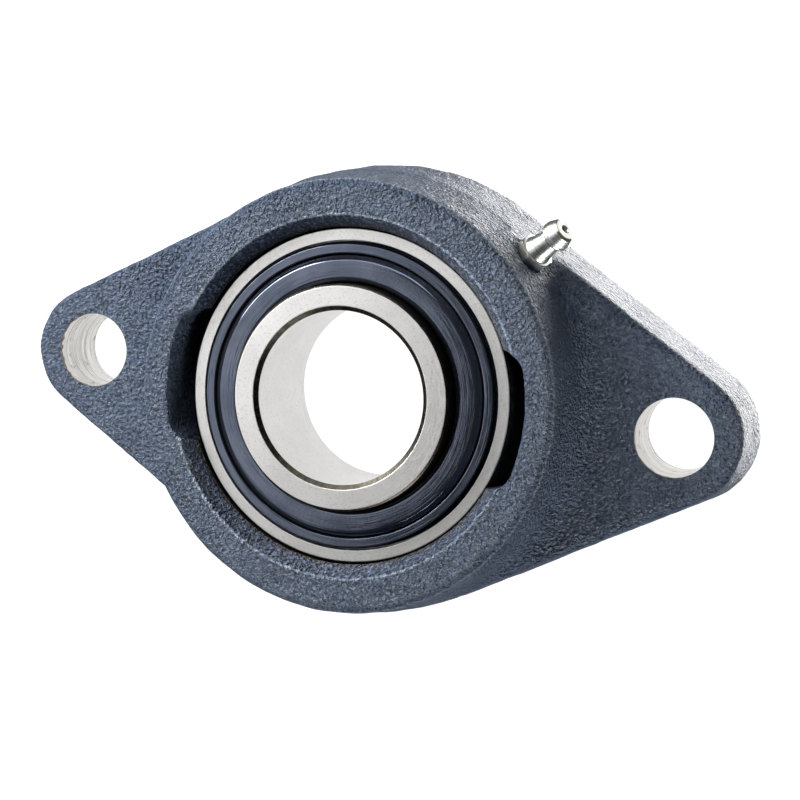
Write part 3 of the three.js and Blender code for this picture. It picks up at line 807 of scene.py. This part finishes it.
def paint_housing(mesh):
    """Marks the machined faces: back and seat are turned, hole walls are drilled."""
    for look in ("cast_paint", "turned_iron", "drilled_iron"):
        mesh.materials.append(LOOKS[look])
    count = len(mesh.polygons)
    centre = np.zeros(count * 3)
    normal = np.zeros(count * 3)
    mesh.polygons.foreach_get("center", centre)
    mesh.polygons.foreach_get("normal", normal)
    x, y, z = (centre.reshape(-1, 3) / MM).T
    nx, ny, nz = normal.reshape(-1, 3).T
    radius = np.hypot(x, y)
    from_hole = np.hypot(np.abs(x) - HALF_SPACING, y)
    index = np.zeros(count, int)
    in_relief = (z < BACK_RELIEF_DEPTH + TOUCH) & (radius < BACK_RELIEF_R + TOUCH)
    back = (z < TOUCH) | in_relief
    behind_seam = z < CENTRE_Z + OUTER_HALF_W - 0.5
    faces_in = x * nx + y * ny < 0
    seat = (radius < SEAT_R + GREASE_GROOVE_DEPTH) & behind_seam & faces_in
    in_slot = (np.abs(y) < SLOT_HALF_W) & (z > CENTRE_Z) & (radius > SEAT_R)
    index[back | (seat & ~in_slot)] = 1
    index[(from_hole < BOLT_HOLE_R + 3 * TOUCH) & (z > TOUCH)] = 2
    mesh.polygons.foreach_set("material_index", index)


def housing():
    """The casting, machined by its cutters."""
    body = raw_casting()
    for cutter in (back_plane(), seat_cutter(), bolt_drill(-1), bolt_drill(1), nipple_cutter()):
        combine(body, cutter, "DIFFERENCE")
    body.name = "housing_casting"
    body.data.materials.clear()
    paint_housing(body.data)
    smooth_with_edges(body, 40)
    return fit(body, "cast_paint", "housing", "housing")


# ---------------------------------------------------------------- grease nipple

def thread_profile():
    """Turns of the thread as plain rings, from the tip of the shank to the hexagon."""
    root = NIPPLE_THREAD_R - THREAD_DEPTH
    points = []
    for i in range(int(NIPPLE_THREAD_L / THREAD_PITCH)):
        z = -NIPPLE_THREAD_L + i * THREAD_PITCH
        points.append((root, z + 0.1))
        points.append((NIPPLE_THREAD_R, z + 0.5))
        points.append((NIPPLE_THREAD_R, z + 0.62))
    return points


def nipple_body():
    """Threaded shank, hexagon, hollow neck and rounded head, with the passage through them."""
    top, tip, foot = NIPPLE_HEX_H, NIPPLE_L, -NIPPLE_THREAD_L
    shank = [(NIPPLE_THREAD_R - THREAD_DEPTH, foot), *thread_profile(), (2.5, 0), (2.5, top / 2)]
    neck = [(3.1, top), (2.68, top + 1.4, 0.7), (2.48, top + 3.2, 1.0), (2.42, top + 4.6, 0.3)]
    collar = [(3.05, 6.85, 0.12), (3.2, 7.0, 0.1), (3.2, 7.35, 0.08), (3.0, 7.45, 0.05)]
    bulge = [(3.0, 7.6, 0.05), (3.2, 7.7, 0.06), (3.18, 8.0, 0.12)]
    face = [(2.6, tip - 0.4, 0.12), (2.2, tip, 0.12)]
    mouth = [(0.95, tip, 0.1), (0.75, tip - 0.3, 0.1), (0.75, tip - 0.8), (NIPPLE_PASSAGE_R, tip - 1.6)]
    passage = [(NIPPLE_PASSAGE_R, foot + 0.6), (0.8, foot)]
    profile = eased([*shank, *neck, *collar, *bulge, *face, *mouth, *passage])
    body = lathe("nipple_body", profile, 64)
    return combine(body, hexagon(), "UNION", "EXACT")


def hexagon():
    """Hexagon round the nipple, its outer corners turned to a cone."""
    corner_r = NIPPLE_HEX_AF / 2 / math.cos(math.pi / 6)
    ring = arc(0, 0, corner_r, NIPPLE_HEX_TURN, NIPPLE_HEX_TURN + 300, 5)
    points = [(x, y, z) for z in (NIPPLE_HEX_GAP, NIPPLE_HEX_H) for x, y in ring]
    sides = [(i, (i + 1) % 6, 6 + (i + 1) % 6, 6 + i) for i in range(6)]
    ends = [tuple(range(5, -1, -1)), tuple(range(6, 12))]
    prism = mesh_object("hexagon", points, [*ends, *sides])
    bore = lathe("hexagon_bore", [(0, -1), (1.8, -1), (1.8, 4), (0, 4)], 48, closed=False)
    across, down = NIPPLE_HEX_BEVEL
    outline = [
        (0, -1), (5, -1), (5, NIPPLE_HEX_H - down),
        (corner_r - across, NIPPLE_HEX_H), (0, NIPPLE_HEX_H),
    ]
    cone = lathe("hexagon_cone", outline, 96, closed=False)
    combine(prism, cone, "INTERSECT")
    return combine(prism, bore, "DIFFERENCE")


def grease_nipple():
    """The nipple in place, with its hexagon's edges rounded."""
    body = on_nipple_axis(nipple_body())
    bevel = body.modifiers.new("edges", "BEVEL")
    bevel.width = NIPPLE_EDGE_R * MM
    bevel.segments = 2
    bevel.limit_method = "ANGLE"
    bevel.angle_limit = math.radians(50)
    bevel.harden_normals = True
    smooth_with_edges(body, 30)
    return fit(body, "zinc_plate", "housing", "grease_nipple")


def check_ball():
    """Ball that closes the nipple's mouth."""
    r = CHECK_BALL_R
    profile = [(0, -r), *arc(0, 0, r, -80, 80, 16), (0, r)]
    ball = lathe("nipple_ball", profile, 32, closed=False, sharp=180)
    placed(ball, Matrix.Translation((0, 0, (NIPPLE_L - CHECK_BALL_DEPTH) * MM)))
    return fit(on_nipple_axis(ball), "ball_steel", "check_ball", "nipple_check_ball")


def check_spring():
    """Helical wire under the check ball, as a curve with a round section."""
    curve = bpy.data.curves.new("nipple_coil", "CURVE")
    curve.dimensions = "3D"
    curve.bevel_depth = SPRING_WIRE_R * MM
    curve.bevel_resolution = 3
    curve.use_fill_caps = True
    low, high = SPRING_Z
    steps = SPRING_TURNS * SPRING_STEPS
    line = curve.splines.new("POLY")
    line.points.add(steps)
    turn = Matrix.Translation(NIPPLE_BASE) @ nipple_axes().to_4x4()
    for i, point in enumerate(line.points):
        a = 2 * math.pi * i / SPRING_STEPS
        z = low + (high - low) * i / steps
        place = turn @ Vector((SPRING_R * math.cos(a), SPRING_R * math.sin(a), z))
        point.co = (*(place * MM), 1)
    return fit(new_object("nipple_coil", curve), "pressed_steel", "check_ball", "nipple_spring")


# ---------------------------------------------------------------- rings

def groove(centre_r, facing):
    """Raceway's arc: front to rear in the outer ring (facing 1), rear to front in the inner (-1)."""
    edge = OUTER_SHOULDER_R if facing > 0 else INNER_OD_R
    half = math.degrees(math.acos(abs(edge - centre_r) / GROOVE_R))
    middle = 0 if facing > 0 else 180
    return arc(centre_r, CENTRE_Z, GROOVE_R, middle + half, middle - half, 16)


def paint_in_shade(ring, where):
    """Ground steel all over, but near-black steel as painted shade where a test of the face's radius
    and height says so.
    """
    for look in ("ground_steel", "shaded_steel"):
        ring.data.materials.append(LOOKS[look])
    for face in ring.data.polygons:
        in_shade = where(face.center.xy.length / MM, face.center.z / MM)
        face.material_index = 1 if in_shade else 0


def ring_drill(angle):
    """Cutter for a grease hole through the outer ring, in the given direction from the axis."""
    low, high = RING_HOLE_ENDS
    profile = [(0, low), (RING_HOLE_R, low), (RING_HOLE_R, high), (0, high)]
    drill = lathe("ring_drill", profile, 24, closed=False)
    place = Matrix.Translation((0, 0, (CENTRE_Z - RING_HOLE_DROP) * MM))
    turn = Matrix.Rotation(angle, 4, "Z") @ Matrix.Rotation(math.pi / 2, 4, "Y")
    return placed(drill, place @ turn)


def outer_ring():
    """Ring with a spherical outside, a raceway, a recess for each seal and two grease holes."""
    rear, front = CENTRE_Z - OUTER_HALF_W, CENTRE_Z + OUTER_HALF_W
    edge = math.degrees(math.asin((OUTER_HALF_W - RING_CHAMFER) / OUTER_SPHERE_R))
    recess = SEAL_RECESS_DEPTH
    corners = [
        (SEAL_RECESS_R, rear, RING_EASE), (OUTER_FACE_R, rear, RING_EASE),
        *arc(0, CENTRE_Z, OUTER_SPHERE_R, -edge, edge, 24),
        (OUTER_FACE_R, front, RING_EASE), (SEAL_RECESS_R, front, RING_EASE),
        (SEAL_RECESS_R, front - recess), (OUTER_SHOULDER_R, front - recess),
        *groove(PITCH_R + BALL_R + GROOVE_PLAY - GROOVE_R, 1),
        (OUTER_SHOULDER_R, rear + recess), (SEAL_RECESS_R, rear + recess),
    ]
    ring = lathe("outer_race", eased(corners))
    for angle in (math.pi / 2, -math.pi / 2):
        combine(ring, ring_drill(angle), "DIFFERENCE", "EXACT")

    def on_sphere(r, z):
        return r > OUTER_FACE_R + 0.05

    # The sphere and its chamfers get painted shade, for the gap inside the seat.
    paint_in_shade(ring, on_sphere)
    smooth_with_edges(ring, 35)
    return fit(ring, "ground_steel", "outer", "outer_ring")


def bore_radius(z):
    """Radius of the tapered bore at a height."""
    return BORE_FRONT_R + (INNER_FRONT_Z - z) * BORE_TAPER


def inner_ring():
    """Ring with a tapered bore; its front chamfer and its outside get painted shade.

    Known fault: its raceway is listed front to rear among corners that run rear to front, so the
    outline crosses itself there and the raceway stays covered. It is hidden behind the seals.
    """
    rear, front = INNER_REAR_Z, INNER_FRONT_Z
    edge = INNER_OD_R - INNER_FACE_R
    rear_lip = bore_radius(rear) + BORE_CHAMFER_REACH
    front_lip = BORE_FRONT_R + BORE_CHAMFER_REACH
    bore_rear, bore_front = rear + BORE_CHAMFER, front - BORE_CHAMFER
    corners = [
        (rear_lip, rear, RING_EASE), (INNER_FACE_R, rear, RING_EASE),
        (INNER_OD_R, rear + edge, INNER_EASE),
        *reversed(groove(PITCH_R - BALL_R - GROOVE_PLAY + GROOVE_R, -1)),
        (INNER_OD_R, front - edge, INNER_EASE),
        (INNER_FACE_R, front, RING_EASE), (front_lip, front, RING_EASE),
        (bore_radius(bore_front), bore_front, RING_EASE),
        (bore_radius(bore_rear), bore_rear, RING_EASE),
    ]
    ring = lathe("inner_race", eased(corners))

    def outside_or_chamfer(r, z):
        return r > INNER_FACE_R - 0.04 or (r < front_lip - 0.05 and z > bore_front)

    # The outside and the bore's front chamfer get painted shade.
    paint_in_shade(ring, outside_or_chamfer)
    return fit(ring, "ground_steel", "inner", "inner_ring")


# ---------------------------------------------------------------- seals

def at_face(corners, side):
    """Corners with heights from the outer ring's face, on the front (1) or rear (-1) side."""
    lifted = []
    for radius, height, *ease in corners:
        lifted.append((radius, CENTRE_Z + side * (OUTER_HALF_W + height), *ease))
    return lifted if side > 0 else lifted[::-1]


def seal_case(side):
    """Pressed case held in the outer ring's recess, with a raised band along its outside."""
    corners = [
        (31.05, -2.6), (31.55, -2.6), (31.55, -1.6, 0.3), (31.0, -1.1, 0.3), (30.94, 1.08, 0.2),
        (29.12, 1.05, 0.2), (28.9, -1.3, 0.25), (28.6, -1.55, 0.2), (27.65, -1.55), (27.65, -2.05),
        (29.0, -2.05, 0.3), (29.4, -1.6, 0.3), (29.62, 0.3, 0.2), (30.4, 0.45, 0.2), (30.5, -1.35, 0.3),
        (31.05, -1.85, 0.2),
    ]
    return eased(at_face(corners, side))


def seal_lip(side):
    """Rubber moulded on the case, reaching in to the inner ring."""
    corners = [
        (23.3, -2.85), (24.1, -2.3, 0.3), (27.5, -2.3), (27.55, -1.45), (28.65, -1.4),
        (28.45, -1.05, 0.15), (27.5, -1.0, 0.3), (27.1, -1.8, 0.3), (24.1, -1.8, 0.3),
    ]
    return eased(at_face(corners, side))


def flinger(side):
    """Disc on the inner ring: a hub, a bend, and a rim that slopes down over the seal."""
    hub = INNER_OD_R + FLINGER_PLAY
    bend_z, disc_z = 0.4, 1.7
    bend = disc_z - bend_z
    thick = FLINGER_T
    corners = [
        (hub, -1.2), (hub + thick, -1.2), *arc(hub + bend, bend_z, bend - thick, 180, 90, 6),
        (FLINGER_R - 0.15, disc_z - thick, 0.2), (28.45, 0.32), (28.75, 0.72, 0.15),
        (FLINGER_R, disc_z, 0.25), *arc(hub + bend, bend_z, bend, 90, 180, 10),
    ]
    return eased(at_face(corners, side))


def seals():
    """Case, lip and flinger on both sides."""
    for end, side in (("front", 1), ("rear", -1)):
        shell = lathe(f"seal_shell_{end}", seal_case(side))
        fit(shell, "black_steel", "outer", f"seal_case_{end}")
        rubber = lathe(f"seal_rubber_{end}", seal_lip(side))
        fit(rubber, "seal_rubber", "outer", f"seal_lip_{end}")
        disc = lathe(f"flinger_disc_{end}", flinger(side))
        fit(disc, "black_steel", "inner", f"flinger_{end}")


# ---------------------------------------------------------------- balls and cage

def cage_half(name, side):
    """Pressed ribbon that arches over each ball and lies flat at the rivets."""
    radii = np.linspace(*CAGE_R, 7)
    stations = BALLS * CAGE_STEPS
    pocket = BALL_R + POCKET_PLAY
    spacing = 2 * math.pi / BALLS

    def height(r, angle, shell, flat):
        """Height over the balls' plane of a ball-centred shell, or of the flat if that is higher."""
        off_axis = (r * math.cos(angle) - PITCH_R) ** 2 + (r * math.sin(angle)) ** 2
        return max(flat, math.sqrt(max(0, shell**2 - off_axis)))

    points = []
    for s in range(stations):
        turn = 2 * math.pi * s / stations
        nearest = turn - round(turn / spacing) * spacing
        section = [(r, height(r, nearest, pocket, CAGE_SPLIT)) for r in radii]
        for r in radii[::-1]:
            section.append((r, height(r, nearest, pocket + CAGE_T, CAGE_SPLIT + CAGE_T)))
        for r, z in section:
            points.append((r * math.cos(turn), r * math.sin(turn), CENTRE_Z + side * z))
    ring = 2 * len(radii)
    faces = []
    for s in range(stations):
        here, there = s * ring, (s + 1) % stations * ring
        for k in range(ring):
            m = (k + 1) % ring
            face = (here + k, there + k, there + m, here + m)
            faces.append(face if side > 0 else face[::-1])
    return mesh_object(name, points, faces)


def cage():
    """The two pressings, drilled for their rivets."""
    hole = [(0, -2), (RIVET_HOLE_R, -2), (RIVET_HOLE_R, 2), (0, 2)]
    for end, side in (("front", 1), ("rear", -1)):
        half = cage_half(f"cage_ribbon_{end}", side)
        for i in range(BALLS):
            drill = lathe("rivet_drill", hole, 20, closed=False)
            combine(half, placed(drill, on_pitch_circle(i + 0.5)), "DIFFERENCE")
        smooth_with_edges(half, 40)
        fit(half, "pressed_steel", "cage", f"cage_{end}")


def rivet_profile():
    """Shank with a flattened round head at each end, about the balls' plane."""
    seat = CAGE_SPLIT + CAGE_T + RIVET_LIFT
    tip = seat + RIVET_HEAD_H
    head = arc(0, seat, RIVET_HEAD_R, 0, 80, 6)
    upper = [(r, seat + (z - seat) * RIVET_HEAD_SQUASH) for r, z in head]
    lower = [(r, -z) for r, z in reversed(upper)]
    return [(0, -tip), *lower, (RIVET_R, -seat), (RIVET_R, seat), *upper, (0, tip)]


def rivets():
    """One rivet midway between each two balls."""
    for i in range(BALLS):
        rivet = lathe(f"rivet_{i + 1}", rivet_profile(), 28, closed=False)
        placed(rivet, on_pitch_circle(i + 0.5))
        fit(rivet, "pressed_steel", "cage", f"cage_rivet_{i + 1}")


def balls():
    """The balls, each on its own body."""
    profile = [(0, -BALL_R), *arc(0, 0, BALL_R, -84, 84, 28), (0, BALL_R)]
    for i in range(BALLS):
        ball = lathe(f"race_ball_{i + 1}", profile, 56, closed=False, sharp=180)
        placed(ball, on_pitch_circle(i))
        fit(ball, "ball_steel", f"ball_{i + 1}", f"ball_{i + 1}")


# ---------------------------------------------------------------- stage

def paper(name, outline, height):
    """Flat stage piece with the given outline, in mm."""
    mesh = bpy.data.meshes.new(name)
    points = [(x * MM, y * MM, height * MM) for x, y in outline]
    mesh.from_pydata(points, [], [tuple(range(len(points)))])
    mesh.materials.append(LOOKS["floor_paper"])
    sheet = new_object(name, mesh)
    sheet.visible_diffuse = False
    return sheet


def floor():
    """Wide pale floor, and a white card under the flange that the bores reflect."""
    half = FLOOR_SIZE / 2
    square = [(-half, -half), (half, -half), (half, half), (-half, half)]
    ground = paper("floor", square, FLOOR_Z)
    ground.visible_glossy = False
    ground.visible_shadow = False
    turn = math.degrees(math.acos((BODY_R - EAR_R) / HALF_SPACING))
    outline = [
        *arc(HALF_SPACING, 0, EAR_R - CARD_INSET, -turn, turn, 12),
        *arc(0, 0, BODY_R - CARD_INSET, turn, 180 - turn, 12),
        *arc(-HALF_SPACING, 0, EAR_R - CARD_INSET, 180 - turn, 180 + turn, 12),
        *arc(0, 0, BODY_R - CARD_INSET, 180 + turn, 360 - turn, 12),
    ]
    paper("floor_card", outline, CARD_Z)


def soft_light(name, place, size, power):
    """Square area light aimed at the middle of the object."""
    light = bpy.data.lights.new(name, "AREA")
    light.shape = "SQUARE"
    light.size = size
    light.energy = power
    lamp = new_object(name, light)
    lamp.visible_camera = False
    lamp.location = place
    aim = Vector(LAMP_TARGET) - Vector(place)
    lamp.rotation_euler = aim.to_track_quat("-Z", "Y").to_euler()


def lights():
    """Dim white surroundings and seven soft lamps, placed in metres."""
    world = bpy.data.worlds.new("studio")
    bpy.context.scene.world = world
    world.use_nodes = True
    background = world.node_tree.nodes["Background"]
    background.inputs["Color"].default_value = (1, 1, 1, 1)
    background.inputs["Strength"].default_value = 0.08
    soft_light("panel", (-0.60, 0.10, 0.87), 0.7, 2.5)
    soft_light("left", (-0.26, 0.16, 0.16), 0.2, 2.6)
    soft_light("top", (-0.15, 0.6, 0.4), 0.7, 5)
    soft_light("backlight", (0.15, 0.14, -0.52), 0.45, 5)
    soft_light("side_back", (0.45, 0.52, -0.44), 0.5, 1.2)
    soft_light("low_rim", (0.35, -0.75, 0.12), 0.4, 9)
    soft_light("low_left", (-0.55, -0.62, 0.52), 0.6, 0.9)


def camera():
    """Camera at the object's right and a little above, looking down at its front face."""
    view = bpy.data.cameras.new("camera")
    view.sensor_width = CAMERA_SENSOR
    view.lens = CAMERA_LENS
    view.clip_start = 0.01
    rig = new_object("camera", view)
    rig.location = CAMERA_PLACE
    aim = (Vector(CAMERA_TARGET) - rig.location).normalized()
    up = (Vector((0, 1, 0)) - aim * aim.y).normalized()
    up = Matrix.Rotation(math.radians(CAMERA_ROLL), 3, aim) @ up
    turn = Matrix((aim.cross(up), up, -aim)).transposed()
    rig.rotation_euler = turn.to_euler()
    bpy.context.scene.camera = rig


# ---------------------------------------------------------------- build

housing()
grease_nipple()
check_ball()
check_spring()
outer_ring()
inner_ring()
seals()
cage()
rivets()
balls()
floor()
lights()
camera()
bpy.context.scene.view_settings.view_transform = "Standard"
